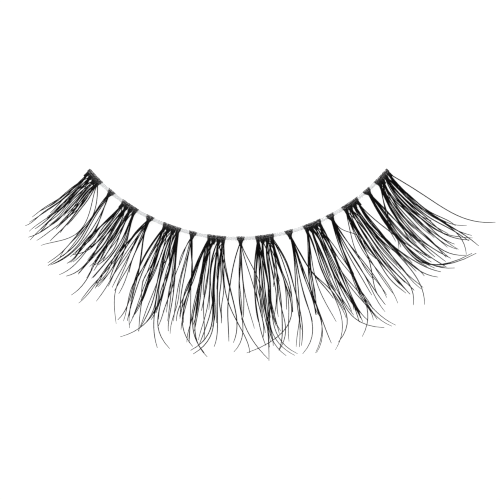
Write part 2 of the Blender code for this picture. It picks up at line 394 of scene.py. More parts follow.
class Lashes:
    """All the lashes of one cluster.

    Attributes:
        owner: The lock that each lash belongs to.
        crowd: How many lashes that lock has.
        begins: The first lash of that lock.
        knots: The knot that each lash leaves, counted from 0.
    """

    def __init__(self, lid: Lid, shape: LashShape, roots: Array, locks: Sequence[Lock], seed: int):
        """Keeps what the lashes grow from.

        Args:
            lid: The circle that the strip is bent to.
            shape: How a lash is made.
            roots: The angle of each knot, in radians.
            locks: The cluster's locks.
            seed: Where its random numbers start.
        """
        self.lid = lid
        self.shape = shape
        self.roots = roots
        self.locks = locks
        self.chance = np.random.default_rng(seed)
        counts = np.array([lock.lashes for lock in locks])
        self.owner = np.repeat(np.arange(len(counts)), counts)
        self.crowd = counts[self.owner][:, None]
        self.begins = (np.cumsum(counts) - counts)[self.owner]
        self.knots = self._crossed(np.array([lock.knot - 1 for lock in locks])[self.owner])

    def add_to(self, skin: Skin) -> int:
        """Grows every lash and adds it to a skin.

        Args:
            skin: The surfaces that the lashes join.

        Returns:
            How many lashes there are.
        """
        total = len(self.owner)
        paths, share = self._paths()
        radii = self._radii(share, total)
        grid = tubes(paths, radii, self.shape.sides, UP)
        skin.add(grid, np.broadcast_to(share, radii.shape), self.chance.random(total))
        return total

    def _draw(self) -> Array:
        """A random number from 0 to 1 for each lash."""
        return self.chance.random((len(self.owner), 1))

    def _crossed(self, knots: Array) -> Array:
        """Lets some lashes leave the knot beside their lock's own, so that they cross.

        Args:
            knots: The knot of each lash's lock, counted from 0.

        Returns:
            The knot that each lash leaves.
        """
        draw = self._draw()[:, 0]
        step = (draw < self.shape.cross / 2.0).astype(int) - (draw > 1.0 - self.shape.cross / 2.0)
        step = np.where(self.crowd[:, 0] > 1, step, 0)
        return np.clip(knots + step, 0, len(self.roots) - 1)

    def _ranks(self) -> Array:
        """The lashes of each lock put in a random order, counted from 0."""
        order = np.lexsort((self._draw()[:, 0], self.owner))
        ranks = np.empty((len(order), 1))
        ranks[order, 0] = np.arange(len(order)) - self.begins[order]
        return ranks

    def _slots(self, ranks: Array) -> Array:
        """Places side by side over a lock, from -1 to 1, each a little out of line."""
        strays = self.shape.jostle * (self._draw() - 0.5)
        return 2.0 * (ranks + 0.5 + strays) / self.crowd - 1.0

    def _courses(self) -> Array:
        """Coefficients of each lash's angle, the quartic through its root and its lock's course."""
        stations = np.linspace(0.0, 1.0, STATIONS)
        courses = np.radians([lock.course for lock in self.locks])[self.owner]
        through = np.column_stack((self.roots[self.knots], courses))
        return np.linalg.solve(np.vander(stations, increasing=True), through.T).T

    def _half_width(self, share: Array) -> Array:
        """Half the width of each lash's lock: it closes beyond the knot and opens to the tips."""
        shape = self.shape
        more = self.crowd - 1.0
        cling = shape.cling + shape.cling_each * more
        tuft = shape.tuft + shape.tuft_each * more
        closed = shape.root + (cling - shape.root) * eased(share / shape.closed_by)
        return closed + (tuft - cling) * eased((share - shape.open_from) / (1.0 - shape.open_from))

    def _beside(self, lock_share: Array, share: Array) -> Array:
        """How far each lash lies to the side of its lock's middle.

        It is w (q₀ (1 - s)² + b q₁ s (1 - s) + q₂ s²), where w is the lock's half width, b is
        the bow, and q₀, q₁ and q₂ are the lash's places at the root, half way and at the tip.
        The places at the root are shuffled, so lashes cross, and neighbours draw together half
        way along and at their tips. The lash wavers by sin(2 π (f s + p)) s, and its tip hooks
        to one side as s³.

        Args:
            lock_share: How far along its lock each point of a lash is.
            share: How far along the lash it is.

        Returns:
            The distance at each point, to the right where it is positive.
        """
        shape = self.shape
        ranks = self._ranks()
        own = self._slots(ranks)
        pair = 2.0 * (2.0 * np.floor(ranks / 2.0) + 1.0) / self.crowd - 1.0
        middle = own + shape.keep * (pair - own)
        tip = own + shape.meet * (pair - own)
        root = self._slots(self._ranks())
        back = 1.0 - lock_share
        place = root * back**2 + shape.bow * middle * lock_share * back + tip * lock_share**2
        count = shape.waves + shape.more_waves * self._draw()
        waves = np.sin(2.0 * math.pi * (count * lock_share + self._draw()))
        free = shape.waver * waves * lock_share + shape.hook * (2.0 * self._draw() - 1.0) * share**3
        alone = self.crowd == 1
        return np.where(alone, shape.lone * free, self._half_width(lock_share) * place + free)

    def _height(self, lock_share: Array, reach: Array) -> Array:
        """How high each lash lies: flat at first, then rest + rise ((s - flat) / (1 - flat)) ** p.

        Args:
            lock_share: How far along its lock each point of a lash is.
            reach: How far out each lock goes.

        Returns:
            The height at each point, never below the surface.
        """
        shape = self.shape
        past = np.clip((lock_share - shape.flat) / (1.0 - shape.flat), 0.0, None)
        curl = reach * shape.rise * (1.0 + shape.rise_spread * (2.0 * self._draw() - 1.0))
        middle = self.lid.height + (shape.rest - self.lid.height) * eased(lock_share / shape.settled_by)
        lift = self._draw() - 0.5 + (self._draw() - 0.5) * lock_share
        layer = shape.depth * self._half_width(lock_share) * lift * eased(lock_share / shape.deep_by)
        height = middle + curl * past**shape.rise_power + layer
        return np.maximum(height, shape.thickness / 2.0)

    def _paths(self) -> tuple[Array, Array]:
        """The middle line of each lash: its lock's quartic, with the lash's own place in it.

        Returns:
            The lines, shaped (lashes, rings, 3), and how far along the lash each ring is.
        """
        shape = self.shape
        share = np.linspace(0.0, 1.0, shape.rings)[None, :]
        longest = (np.arange(len(self.owner)) == self.begins)[:, None]
        cut = np.where(longest, 0.0, shape.ragged * self._draw() ** shape.ragged_power)
        lock_share = share * (1.0 - cut)
        reach = np.array([lock.reach for lock in self.locks])[self.owner, None] * MM
        powers = lock_share[..., None] ** np.arange(STATIONS)
        angle = np.sum(powers * self._courses()[:, None, :], axis=-1)
        out = shape.start + (self.lid.filament + reach - shape.start) * lock_share
        beside = self._beside(lock_share, share) / (self.lid.radius + out)
        return self.lid.place(angle + beside, out, self._height(lock_share, reach)), share

    def _radii(self, share: Array, total: int) -> Array:
        """Radius along each lash, thinning evenly and then pointed as 1 - s ** power."""
        shape = self.shape
        point = 1.0 - (1.0 - shape.tip_share) * share**shape.taper_power
        body = (1.0 - shape.thinning * share) * point
        own = 1.0 + shape.thickness_spread * (2.0 * self.chance.random((total, 1)) - 1.0)
        return shape.thickness / 2.0 * own * body


# The knots


# A small angle, in radians, whose step gives the direction along the band
NUDGE = 0.01


@dataclass(frozen=True)
class FillingShape:
    """The closed body inside the loops of a knot.

    Attributes:
        middle: How far out its middle lies.
        length: How long it is from its back to its front, as a share of the loops.
        width: How wide it is, as a share of the loops.
        edge: How thick its two edges are, as a share of the loops.
        swell: How much thicker its middle is, as a share of the loops.
        rings: Rings across it.
    """

    middle: float = 0.20 * MM
    length: float = 0.90
    width: float = 0.96
    edge: float = 0.12
    swell: float = 0.7998
    rings: int = 9


@dataclass(frozen=True)
class EndShape:
    """The short cut ends that stand out behind the band, between the loops.

    Attributes:
        pitch: From one end to the next, in pitches of the loops.
        fewest: How many a cluster has at least.
        row: The share of the cluster's width that they stand along.
        stray: How far one lies out of line, as a share of half that width.
        start: How far behind the band's middle they start.
        shortest: The length of the shortest.
        longer: How much longer the longest is.
        lean: How far apart the most unlike tips lean along the band.
        tier: How much higher the highest lies than the lowest.
        below: The share of that which lies below the band's middle.
        lift: How far a tip points up.
        radius: Of an end where it starts.
        taper: How much thinner its tip is, as a share.
        rings: Rings along it.
    """

    pitch: float = 1.6
    fewest: int = 5
    row: float = 0.93
    stray: float = 0.08
    start: float = 0.13 * MM
    shortest: float = 0.03 * MM
    longer: float = 0.06 * MM
    lean: float = 0.06 * MM
    tier: float = 0.22 * MM
    below: float = 0.4
    lift: float = 0.02 * MM
    radius: float = 0.034 * MM
    taper: float = 0.25
    rings: int = 5


@dataclass(frozen=True)
class CordShape:
    """The twisted cords that bind the loops of a cluster.

    Attributes:
        places: How far out from the band's middle each cord lies.
        ply: The thickness of one of its two plies.
        pitch: The length in which a ply goes once round the cord.
        wind: How far from the cord's middle a ply lies, as a share of its thickness.
        flat: How much wider the cord is than it is high.
        sink: How far it sinks between the loops, as a share of a ply.
        short: How much shorter it is at each end, as a share of the slant.
        tuck: How much longer it is there, to tuck in.
        drop: How far its ends drop.
        drop_power: How near to its ends it starts to drop.
        taper: How steeply a ply thins at its ends.
        thin: How thin it is there, as a share.
        out_of_step: How far round one cord may start from the other, in radians.
        dullest: How much painted highlight the duller ply has, from 0 to 1.
        brighter: How much more the other may have.
        ring_pitch: From one ring of a ply to the next.
        fewest_rings: How many rings a ply has at least.
    """

    places: tuple[float, ...] = (-0.10 * MM, 0.10 * MM)
    ply: float = 0.075 * MM
    pitch: float = 0.34 * MM
    wind: float = 0.42
    flat: float = 1.2
    sink: float = 0.35
    short: float = 0.3
    tuck: float = 0.01 * MM
    drop: float = 0.34 * MM
    drop_power: int = 10
    taper: float = 14.0
    thin: float = 0.35
    out_of_step: float = 6.0
    dullest: float = 0.8
    brighter: float = 0.2
    ring_pitch: float = 0.045 * MM
    fewest_rings: int = 16


@dataclass(frozen=True)
class KnotShape:
    """How fibre is looped round the band and drawn together into a root.

    Attributes:
        loop_thickness: Of one loop of fibre.
        thinnest: The thinnest loop, as a share of that.
        thicker: How much more the thickest has, as a share of that.
        loop_pitch: From one loop to the next along the band.
        fewest_loops: How many a knot has at least.
        back: How far behind the band's middle a loop reaches.
        front: How far in front of it the root ends.
        round_power: How round a loop is over the band, from 0, square, to 1, round.
        pinch: How much flatter a loop is at its root, as a share.
        root: Half the width of the root.
        drawn_in: How close together the roots of a row lie, as a share of its knots.
        slant: How far its outer sides draw in from the back to the front.
        flat_to: How far out an outer side runs before it draws in to the root.
        narrow_by: How far out it has drawn in.
        row_flat_to: How far out a side that faces the next knot runs before it draws in.
        row_narrow_by: How far out that one has drawn in.
        slack: How far loops lie out of line.
        dullest: How much painted sheen the dullest loop has, from 0 to 1.
        brighter: How much more the brightest may have.
        filling: The body inside the loops.
        ends: The cut ends behind the band.
        cord: The cords that bind the loops.
        sides: Sides of a loop's section.
        rings: Rings round a loop.
    """

    loop_thickness: float = 0.085 * MM
    thinnest: float = 0.85
    thicker: float = 0.3
    loop_pitch: float = 0.078 * MM
    fewest_loops: int = 4
    back: float = 0.16 * MM
    front: float = 0.69 * MM
    round_power: float = 0.55
    pinch: float = 0.62
    root: float = 0.115 * MM
    drawn_in: float = 0.97
    slant: float = 0.22 * MM
    flat_to: float = 0.10 * MM
    narrow_by: float = 0.50 * MM
    row_flat_to: float = 0.38 * MM
    row_narrow_by: float = 0.62 * MM
    slack: float = 0.022 * MM
    dullest: float = 0.2
    brighter: float = 0.5
    filling: FillingShape = FillingShape()
    ends: EndShape = EndShape()
    cord: CordShape = CordShape()
    sides: int = 6
    rings: int = 26


class Knots:
    """The knots of one cluster: loops of fibre round the band, bound by twisted cords."""

    def __init__(self, lid: Lid, shape: KnotShape, span: tuple[float, float], count: int, seed: int):
        """Keeps where the knots lie.

        Args:
            lid: The circle that the strip is bent to.
            shape: How a knot is made.
            span: The angles between which the knots lie.
            count: How many knots there are.
            seed: Where its random numbers start.
        """
        self.lid = lid
        self.shape = shape
        self.middle = sum(span) / 2.0
        self.half = (span[1] - span[0]) / 2.0 * lid.radius
        self.count = count
        self.chance = np.random.default_rng(seed)

    def roots(self) -> Array:
        """The angle of each knot's root, spaced evenly over the cluster, in radians."""
        places = (np.arange(self.count) + 0.5) / self.count * 2.0 - 1.0
        return self.middle + places * self.half * self.shape.drawn_in / self.lid.radius

    def add_to(self, skin: Skin) -> None:
        """Adds the loops, their filling, the cut ends and the binding cords to a skin."""
        self._add_loops(skin)
        self._add_filling(skin)
        self._add_ends(skin)
        self._add_cords(skin)

    def _round(self, rings: int) -> tuple[Array, Array]:
        """The line that a loop follows, seen along the band.

        out = c - d cos(a) runs from the back to the front and back again, and
        up = h sign(sin(a)) |sin(a)| ** p, drawn in towards the root.

        Args:
            rings: How many points it has.

        Returns:
            How far out, and how far above the band's middle, each point lies.
        """
        shape = self.shape
        turn = np.arange(rings) * 2.0 * math.pi / rings
        out = (shape.front - shape.back) / 2.0 - (shape.front + shape.back) / 2.0 * np.cos(turn)
        full = self.lid.height - shape.loop_thickness / 2.0
        rise = np.sign(np.sin(turn)) * np.abs(np.sin(turn)) ** shape.round_power
        drawn = 1.0 - shape.pinch * eased((out - shape.flat_to) / (shape.front - shape.flat_to))
        return out, full * rise * drawn

    def _sides(self, out: Array, across: Array) -> Array:
        """How far from the middle of its knot a loop lies, at each place out from the band.

        Args:
            out: The places.
            across: The loop's place in its knot, from -1 to 1, shaped (knots, loops, 1).

        Returns:
            Distances along the band. The outer sides of a cluster slant and narrow first.
        """
        shape = self.shape
        full = self.half / self.count
        knot = np.arange(self.count)[:, None, None]
        outer = ((knot == 0) & (across < 0.0)) | ((knot == self.count - 1) & (across > 0.0))
        slanted = full - shape.slant * np.clip((out + shape.back) / shape.front, 0.0, 1.0)
        free = eased((out - shape.flat_to) / (shape.narrow_by - shape.flat_to))
        held = eased((out - shape.row_flat_to) / (shape.row_narrow_by - shape.row_flat_to))
        outside = slanted + (shape.root - slanted) * free
        inside = full + (shape.root - full) * held
        return across * np.where(outer, outside, inside)

    def _knot_middles(self) -> Array:
        """How far along the band the middle of each knot lies, from the cluster's middle."""
        return ((np.arange(self.count) + 0.5) / self.count * 2.0 - 1.0) * self.half

    def _forward(self, out: Array | float) -> Array | float:
        """How far on the way from a loop's back to its root a place lies, from 0 to 1."""
        return (out + self.shape.back) / (self.shape.front + self.shape.back)

    def _add_loops(self, skin: Skin) -> None:
        """Loops side by side, each carried round the band to its knot's root."""
        shape = self.shape
        out, up = self._round(shape.rings)
        each = max(shape.fewest_loops, round(2.0 * self.half / self.count / shape.loop_pitch))
        places = (np.arange(each) + 0.5) / each * 2.0 - 1.0
        across = np.broadcast_to(places[None, :, None], (self.count, each, 1))
        sides = self._sides(out, across) + self._knot_middles()[:, None, None]
        total = self.count * each
        stray = (self.chance.random((3, total, 1)) - 0.5) * 2.0 * shape.slack
        along = sides.reshape(total, -1) + stray[0]
        reach = out[None, :] + stray[1] * (out[None, :] < 0.0)
        height = self.lid.height + up[None, :] * (1.0 + stray[2] / self.lid.height)
        angle = self.middle + along / self.lid.radius
        paths = self.lid.place(angle, reach, height)
        own = shape.thinnest + shape.thicker * self.chance.random((total, 1))
        radii = np.broadcast_to(shape.loop_thickness / 2.0 * own, paths.shape[:2])
        ways = self.lid.place(angle + NUDGE, reach, height) - paths
        grid = tubes(paths, radii, shape.sides, ways, looped=True)
        # The share from a loop's back to its root sets where its painted sheen fades, and each loop gets
        # its own random amount of that painted sheen.
        marks = np.broadcast_to(self._forward(out), paths.shape[:2])
        shades = shape.dullest + shape.brighter * self.chance.random(total)
        skin.add(grid, marks, shades, looped=True)

    def _add_filling(self, skin: Skin) -> None:
        """A closed body inside the loops of each knot, so that no light comes through.

        It is as thick as the loops by e + w sqrt(1 - a⁴), where a goes from -1 to 1 over the knot.
        """
        filling = self.shape.filling
        out, up = self._round(self.shape.rings)
        across = np.sin(np.linspace(-1.0, 1.0, filling.rings) * math.pi / 2.0)[None, :, None]
        thick = filling.edge + filling.swell * np.sqrt(np.clip(1.0 - across**4, 0.0, 1.0))
        along = self._sides(out, filling.width * across) + self._knot_middles()[:, None, None]
        angle = self.middle + along / self.lid.radius
        reach = np.broadcast_to(filling.middle + (out - filling.middle) * filling.length, angle.shape)
        height = np.broadcast_to(self.lid.height + up * thick, angle.shape)
        grid = self.lid.place(angle, reach, height)
        marks = np.broadcast_to(np.linspace(0.0, 1.0, filling.rings), grid.shape[:2])
        skin.add(grid, marks, np.zeros(self.count))

    def _add_ends(self, skin: Skin) -> None:
        """Short cut ends behind the band: straight, leaning at random, and thinning as s²."""
        ends = self.shape.ends
        total = max(ends.fewest, round(2.0 * self.half / (ends.pitch * self.shape.loop_pitch)))
        draw = self.chance.random((4, total, 1))
        share = np.linspace(0.0, 1.0, ends.rings)[None, :]
        places = np.linspace(-ends.row, ends.row, total)[:, None] + ends.stray * (draw[0] - 0.5)
        reach = -ends.start - (ends.shortest + ends.longer * draw[1]) * share
        along = places * self.half + (draw[2] - 0.5) * ends.lean * share
        height = self.lid.height + (draw[3] - ends.below) * ends.tier + ends.lift * share
        paths = self.lid.place(self.middle + along / self.lid.radius, reach, height)
        radii = np.broadcast_to(ends.radius * (1.0 - ends.taper * share**2), paths.shape[:2])
        grid = tubes(paths, radii, self.shape.sides, UP)
        skin.add(grid, np.broadcast_to(share, paths.shape[:2]), self.chance.random(total))

    def _add_cords(self, skin: Skin) -> None:
        """Cords of two twisted plies, laid over the loops and tucked down at their ends.

        A ply winds round its cord as ρ cos(k x + a) and ρ sin(k x + a), and the cord drops by
        a high power of how near it is to its end.
        """
        cord = self.shape.cord
        half = self.half - cord.short * self.shape.slant
        rings = max(cord.fewest_rings, round(2.0 * half / cord.ring_pitch))
        across = np.linspace(-1.0, 1.0, rings)[None, :]
        along = across * (half + cord.tuck)
        angle = self.middle + along / self.lid.radius
        wind = cord.wind * cord.ply
        top = 2.0 * self.lid.height - cord.sink * cord.ply
        drop = cord.drop * np.abs(across) ** cord.drop_power
        thinned = np.clip((1.0 - np.abs(across)) * cord.taper, cord.thin, 1.0)
        for place in cord.places:
            start = np.array((0.0, math.pi))[:, None] + self.chance.random() * cord.out_of_step
            turn = 2.0 * math.pi * along / cord.pitch + start
            height = top + wind * np.sin(turn) - drop
            reach = place + wind * cord.flat * np.cos(turn)
            paths = self.lid.place(angle, reach, height)
            radii = np.broadcast_to(cord.ply / 2.0 * thinned, paths.shape[:2])
            outward = self.lid.place(angle, reach + 1.0, height) - paths
            grid = tubes(paths, radii, self.shape.sides, outward)
            # The cords carry the strongest painted highlight of a knot, dimmer on the cord nearer the
            # root.
            marks = np.full(paths.shape[:2], self._forward(place))
            skin.add(grid, marks, cord.dullest + cord.brighter * self.chance.random(2))


# The band


@dataclass(frozen=True)
class Band:
    """The clear filament that carries the knots.

    Attributes:
        lid: The circle that it is bent to.
        rings: Rings along it.
        sides: Sides of its section.
    """

    lid: Lid
    rings: int = 220
    sides: int = 28

    def build(self) -> bpy.types.Object:
        """A smooth round filament along the lid's circle, from end to end.

        Returns:
            The object, which stands for the band's solid.
        """
        share = np.linspace(0.0, 1.0, self.rings)[None, :]
        angle = (2.0 * share - 1.0) * self.lid.half_angle
        paths = self.lid.place(angle, np.zeros_like(angle), np.full_like(angle, self.lid.height))
        radii = np.full_like(angle, self.lid.filament)
        skin = Skin()
        skin.add(tubes(paths, radii, self.sides, UP), share, np.zeros(1))
        return skin.mesh("band_filament")


# Shader maths


class Wire:
    """A node's output, or a plain number, that can be added, multiplied and so on."""

    def __init__(self, tree: bpy.types.NodeTree, source: Any):
        """Keeps the tree that new nodes go in, and the socket or number itself."""
        self.tree = tree
        self.source = source

    def _maths(self, operation: str, *values: Any) -> "Wire":
        """Adds a Math node and returns its result."""
        inputs = dict(enumerate(values))
        return add_node(self.tree, "ShaderNodeMath", {"operation": operation}, inputs)

    def __add__(self, other: Any) -> "Wire":
        """self + other."""
        return self._maths("ADD", self, other)

    def __sub__(self, other: Any) -> "Wire":
        """self - other."""
        return self._maths("SUBTRACT", self, other)

    def __rsub__(self, other: Any) -> "Wire":
        """other - self."""
        return self._maths("SUBTRACT", other, self)

    def __mul__(self, other: Any) -> "Wire":
        """self * other."""
        return self._maths("MULTIPLY", self, other)

    def __pow__(self, other: Any) -> "Wire":
        """self to the power of other."""
        return self._maths("POWER", self, other)

    __radd__ = __add__
    __rmul__ = __mul__

    def mixed(self, low: Sequence[float], high: Sequence[float]) -> "Wire":
        """A colour between two, by how large this value is."""
        settings = {"data_type": "RGBA"}
        inputs = {"Factor": self, 6: low, 7: high}
        return add_node(self.tree, "ShaderNodeMix", settings, inputs, output=2)


def add_node(
    tree: bpy.types.NodeTree,
    kind: str,
    settings: dict[str, Any],
    inputs: dict[Any, Any],
    output: Any = 0,
) -> Wire:
    """Adds a node, sets it up and links it.

    Args:
        tree: The tree it goes in.
        kind: The node's type.
        settings: Its properties, which are set before its sockets.
        inputs: A value or a Wire for each socket, by its name or number.
        output: The name or number of the output that is wanted.

    Returns:
        That output.
    """
    node = tree.nodes.new(kind)
    for name, value in settings.items():
        setattr(node, name, value)
    for name, value in inputs.items():
        source = value.source if isinstance(value, Wire) else value
        if isinstance(source, bpy.types.NodeSocket):
            tree.links.new(source, node.inputs[name])
        else:
            node.inputs[name].default_value = source
    return Wire(tree, node.outputs[output])


# Finishes


# How strong each finer layer of noise is, as a share of the coarser one
NOISE_ROUGHNESS = 0.55
# How strongly the fibre bends light
FIBRE_IOR = 1.5


@dataclass(frozen=True)
class Finish:
    """What every finish has: a name, and a Principled shader with constant and varying sockets."""

    name: str

    def constants(self) -> dict[str, Any]:
        """Sockets of the shader that are the same all over."""
        return {}

    def varying(self, tree: bpy.types.NodeTree) -> dict[str, Wire]:
        """Sockets of the shader that change over the surface."""
        return {}

    def made(self) -> bpy.types.Material:
        """Makes the material.

        Returns:
            A material with the shader set up and linked.
        """
        material = bpy.data.materials.new(self.name)
        material.use_nodes = True
        tree = material.node_tree
        shader = tree.nodes["Principled BSDF"]
        for name, value in self.constants().items():
            shader.inputs[name].default_value = value
        for name, wire in self.varying(tree).items():
            tree.links.new(wire.source, shader.inputs[name])
        return material


def mark(tree: bpy.types.NodeTree, name: str) -> Wire:
    """Reads one of a mesh's own attributes."""
    return add_node(tree, "ShaderNodeAttribute", {"attribute_name": name}, {}, output="Fac")


def noise(tree: bpy.types.NodeTree, size: float, detail: float = 2.0) -> Wire:
    """Smooth noise over the surface.

    Args:
        tree: The tree it goes in.
        size: How large its patches are, in metres.
        detail: How many finer layers it has.

    Returns:
        Its value, from 0 to 1.
    """
    place = add_node(tree, "ShaderNodeTexCoord", {}, {}, output="Object")
    inputs = {"Vector": place, "Scale": 1.0 / size, "Detail": detail, "Roughness": NOISE_ROUGHNESS}
    return add_node(tree, "ShaderNodeTexNoise", {"noise_dimensions": "3D"}, inputs)


def raised(height: Wire, strength: float, depth: float) -> Wire:
    """The direction of a surface that is raised where a value is high.

    Args:
        height: The value, from 0 to 1.
        strength: How much of it shows, as a share.
        depth: How high the highest places stand.

    Returns:
        The direction, for a shader's Normal socket.
    """
    inputs = {"Height": height, "Strength": strength, "Distance": depth}
    return add_node(height.tree, "ShaderNodeBump", {}, inputs)


@dataclass(frozen=True)
class LashFinish(Finish):
    """Black fibre with a soft sheen: each lash a little browner or bluer than the next.

    Attributes:
        warm: The colour of the brownest lash.
        cool: The colour of the bluest lash.
        gloss: How much light the fibre throws back.
        roughness: Of the fibre, before the rest is added.
        grain_rough: What the grain adds to that.
        tip_rough: What the tip of a lash adds to that.
        grain: How large the fibre's grain is.
        grain_share: How much of the grain's relief shows.
        grain_depth: How deep that relief is.
    """

    warm: Colour = (0.022, 0.017, 0.016, 1.0)
    cool: Colour = (0.009, 0.009, 0.011, 1.0)
    gloss: float = 0.28
    roughness: float = 0.42
    grain_rough: float = 0.12
    tip_rough: float = 0.10
    grain: float = 0.02 * MM
    grain_share: float = 0.25
    grain_depth: float = 0.004 * MM

    def constants(self) -> dict[str, Any]:
        """The dull gloss of tapered fibre."""
        return {"Specular IOR Level": self.gloss, "IOR": FIBRE_IOR, "Metallic": 0.0}

    def varying(self, tree: bpy.types.NodeTree) -> dict[str, Wire]:
        """Colour by the lash, a duller tip, and a fine grain along the fibre."""
        grain = noise(tree, self.grain)
        return {
            "Base Color": mark(tree, "shade").mixed(self.cool, self.warm),
            "Roughness": self.roughness + self.grain_rough * grain + self.tip_rough * mark(tree, "along"),
            "Normal": raised(grain, self.grain_share, self.grain_depth),
        }


@dataclass(frozen=True)
class KnotFinish(Finish):
    """The same fibre where it is wound, set with adhesive and with a harder gloss, and grey with painted
    sheen.

    Attributes:
        deep: The fibre's own black, where no sheen is painted.
        bright: The grey of the strongest painted sheen.
        fade: How much of the painted sheen is gone at the root, as a share.
        fade_power: How near to the back it starts to go.
        least_sheen: How much painted sheen a knot has where the patches are faintest.
        sheen_gain: How much more painted sheen the patches can give.
        sheen_patch_power: How rare the patches of strongest painted sheen are.
        gloss: How much light the adhesive throws back.
        roughness: Of the fibre, before the patches add to it.
        patch_rough: What they add.
        patch: How large the patches are, which roughen the adhesive and speckle the painted sheen.
        patch_share: How much of their relief shows.
        patch_depth: How deep that relief is.
    """

    deep: Colour = (0.018, 0.018, 0.019, 1.0)
    bright: Colour = (0.60, 0.59, 0.60, 1.0)
    fade: float = 0.95
    fade_power: float = 2.6
    least_sheen: float = 0.08
    sheen_gain: float = 11.0
    sheen_patch_power: float = 4.0
    gloss: float = 0.42
    roughness: float = 0.34
    patch_rough: float = 0.25
    patch: float = 0.15 * MM
    patch_share: float = 0.35
    patch_depth: float = 0.01 * MM

    def constants(self) -> dict[str, Any]:
        """The gloss of fibre that is wet with dried adhesive."""
        return {"Specular IOR Level": self.gloss, "IOR": FIBRE_IOR, "Metallic": 0.0}

    def varying(self, tree: bpy.types.NodeTree) -> dict[str, Wire]:
        """Painted sheen by the loop and in patches, fading darker towards the root."""
        # Painted sheen: a grey that stands in for light on the knots. It is strongest at the back and on
        # the cords, speckled in patches, and fades to black at the root.
        shade = mark(tree, "shade") * (1.0 - self.fade * mark(tree, "along")) ** self.fade_power
        patches = noise(tree, self.patch, 3.0)
        sheen_level = shade * (self.least_sheen + self.sheen_gain * patches**self.sheen_patch_power)
        return {
            "Base Color": sheen_level.mixed(self.deep, self.bright),
            "Roughness": self.roughness + self.patch_rough * patches,
            "Normal": raised(patches, self.patch_share, self.patch_depth),
        }


@dataclass(frozen=True)
class BandFinish(Finish):
    """Clear, faintly grey plastic, with a slight haze of adhesive.

    Attributes:
        tint: The plastic's own colour.
        haze: Its colour under the adhesive.
        clear: How much light it lets through, as a share.
        ior: How strongly it bends light.
        roughness: Of the plastic, before the patches add to it.
        patch_rough: What they add.
        patch: How large the patches of adhesive are.
        patch_share: How much of their relief shows.
        patch_depth: How deep that relief is.
    """

    tint: Colour = (0.96, 0.965, 0.97, 1.0)
    haze: Colour = (0.84, 0.845, 0.855, 1.0)
    clear: float = 0.9
    ior: float = 1.49
    roughness: float = 0.10
    patch_rough: float = 0.22
    patch: float = 0.7 * MM
    patch_share: float = 0.07
    patch_depth: float = 0.02 * MM

    def constants(self) -> dict[str, Any]:
        """Clear plastic that lets most light through."""
        return {"Transmission Weight": self.clear, "IOR": self.ior, "Metallic": 0.0}

    def varying(self, tree: bpy.types.NodeTree) -> dict[str, Wire]:
        """Haze in soft patches, duller where it is thicker."""
        patches = noise(tree, self.patch, 3.0)
        return {
            "Base Color": patches.mixed(self.tint, self.haze),
            "Roughness": self.roughness + self.patch_rough * patches,
            "Normal": raised(patches, self.patch_share, self.patch_depth),
        }


@dataclass(frozen=True)
class SurfaceFinish(Finish):
    """The plain white surface that the strip lies on.

    Attributes:
        colour: The grey that it gives back of the light from above.
        roughness: Matt.
        glow: How bright it is from below.
    """

    colour: Colour = (0.16, 0.16, 0.16, 1.0)
    roughness: float = 0.9
    glow: float = 0.92

    def constants(self) -> dict[str, Any]:
        """Matt white, lit from below as a light table is."""
        return {
            "Base Color": self.colour,
            "Roughness": self.roughness,
            "Specular IOR Level": 0.0,
            "Emission Color": WHITE,
            "Emission Strength": self.glow,
        }


# The clusters, charted from the left end of the band to the right


# Where the random draws of the first cluster start
KNOT_SEED = 100
LASH_SEED = 200


@dataclass(frozen=True)
class Cluster:
    """A cluster of knots with its locks.

    Attributes:
        node: The solid that it stands for.
        knots: How many knots it has.
        locks: Its locks, from left to right, and then those that stray.
    """

    node: str
    knots: int
    locks: tuple[Lock, ...]

    def build(self, lid: Lid, number: int) -> tuple[bpy.types.Object, bpy.types.Object, int]:
        """Makes the cluster's knots and lashes.

        Args:
            lid: The circle that the strip is bent to.
            number: The cluster's number along the band, which seeds its random draws.

        Returns:
            The knots, the lashes, and how many lashes there are.
        """
        span = lid.span(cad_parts[self.node])
        knots = Knots(lid, KnotShape(), span, self.knots, seed=KNOT_SEED + number)
        knot_skin = Skin()
        knots.add_to(knot_skin)
        lashes = Lashes(lid, LashShape(), knots.roots(), self.locks, seed=LASH_SEED + number)
        lash_skin = Skin()
        total = lashes.add_to(lash_skin)
        return knot_skin.mesh(f"{self.node}_knots"), lash_skin.mesh(f"{self.node}_lashes"), total


